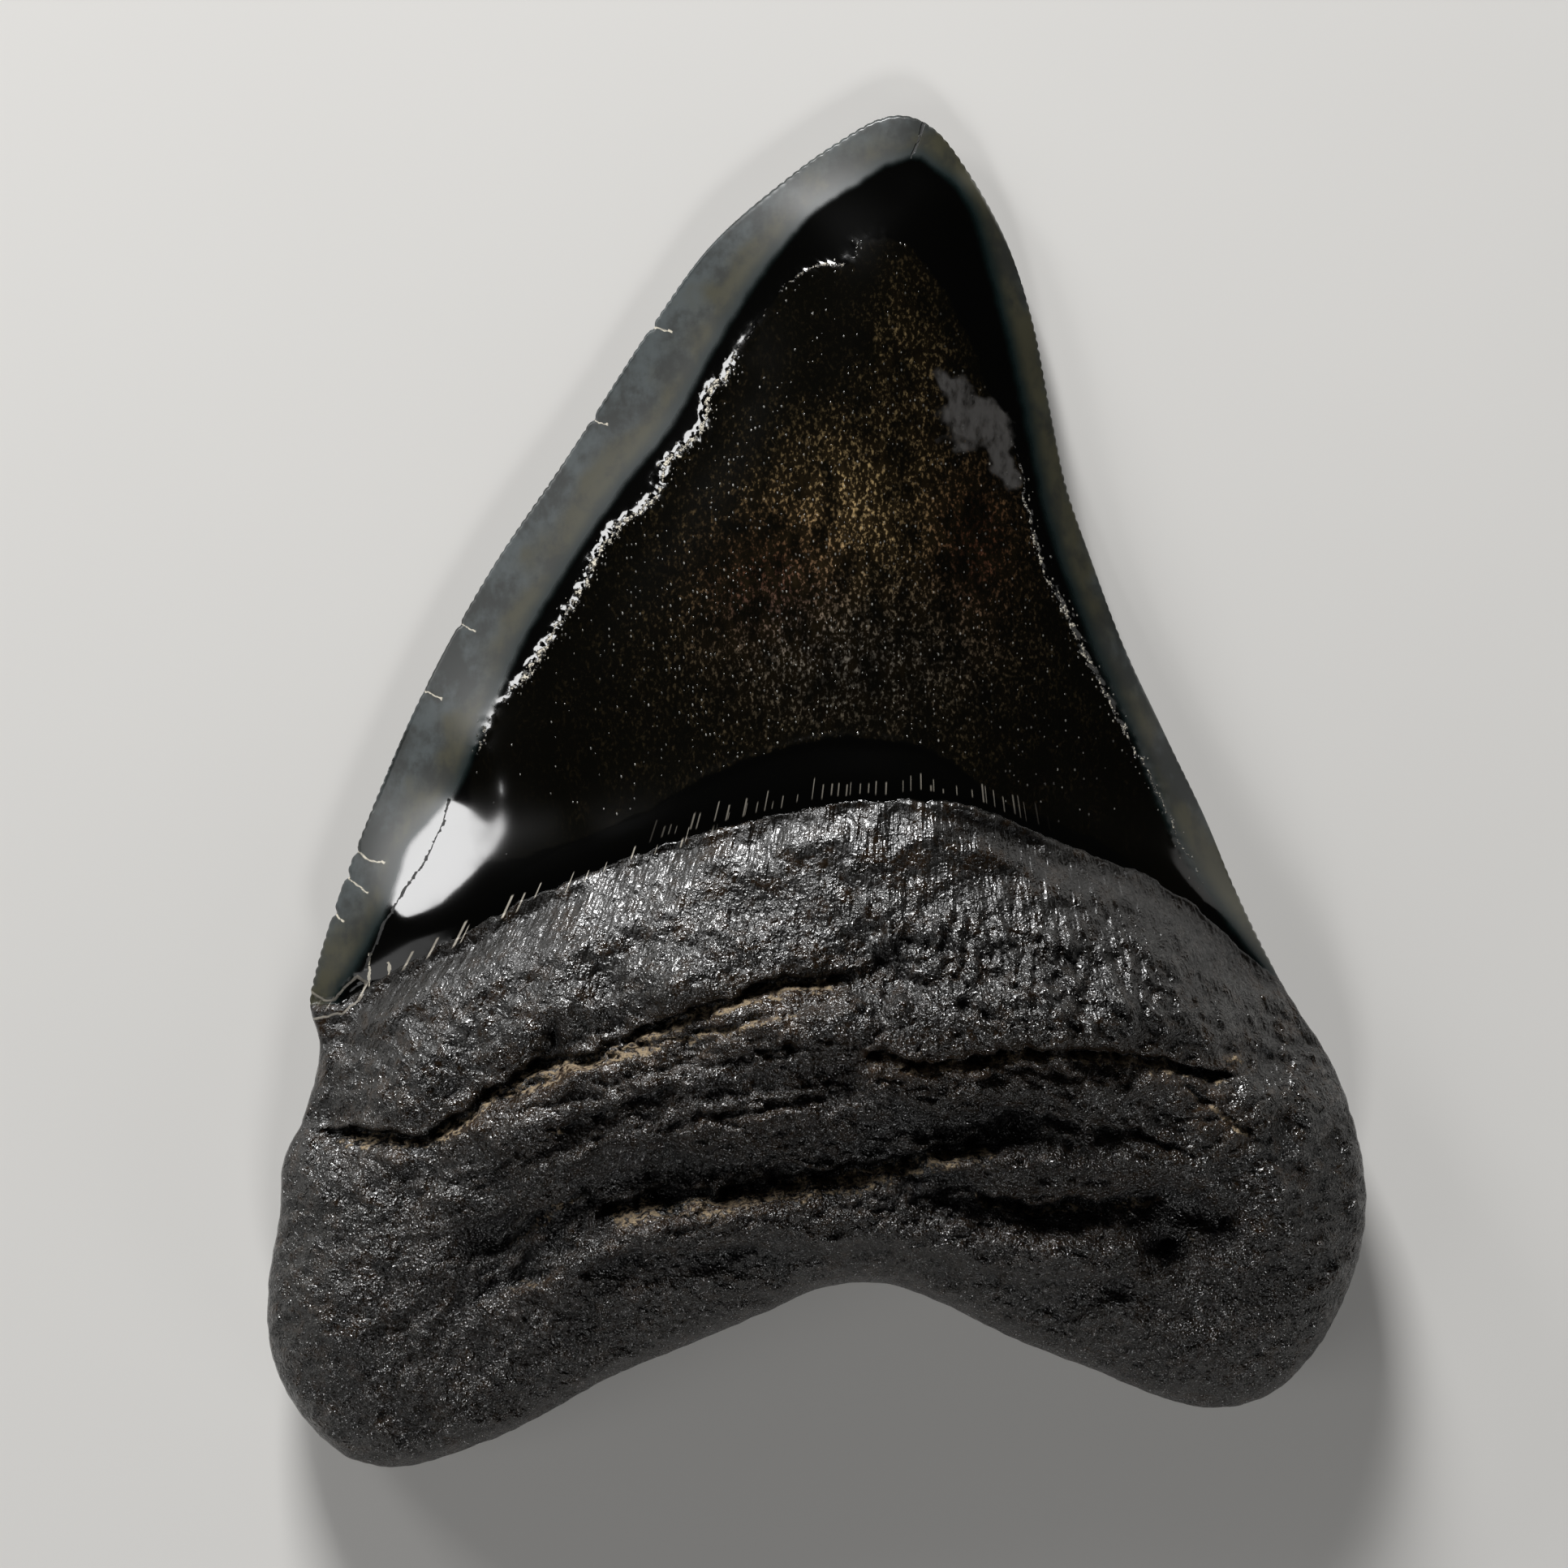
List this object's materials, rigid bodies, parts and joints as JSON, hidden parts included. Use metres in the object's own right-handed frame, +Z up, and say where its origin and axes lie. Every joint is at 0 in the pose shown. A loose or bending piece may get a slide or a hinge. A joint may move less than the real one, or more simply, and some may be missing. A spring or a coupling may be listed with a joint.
{
  "type": "fossil shark tooth",
  "caption": "Large triangular fossil shark tooth with a polished dark crown and a rough two-lobed root, lying on its flatter face as a display piece.",
  "frame": {"origin": "on the resting plane, under the middle of the tooth's outline", "axes": "+Y from the root towards the point of the crown, +Z up out of the bulging face, +X to the right when the bulging face is seen with the point up"},
  "size_m": [0.096, 0.1184, 0.0257],
  "materials": {
    "fossil_tooth": "fossil enamel and root: the crown is polished, black to dark brown and speckled, with a glossy grey-green band along its cutting edges; the root is rough, black and brown, satin, with tan sediment in its furrows"
  },
  "bodies": {
    "root": {"tooth": "fossil_tooth"}
  },
  "joints": []
}
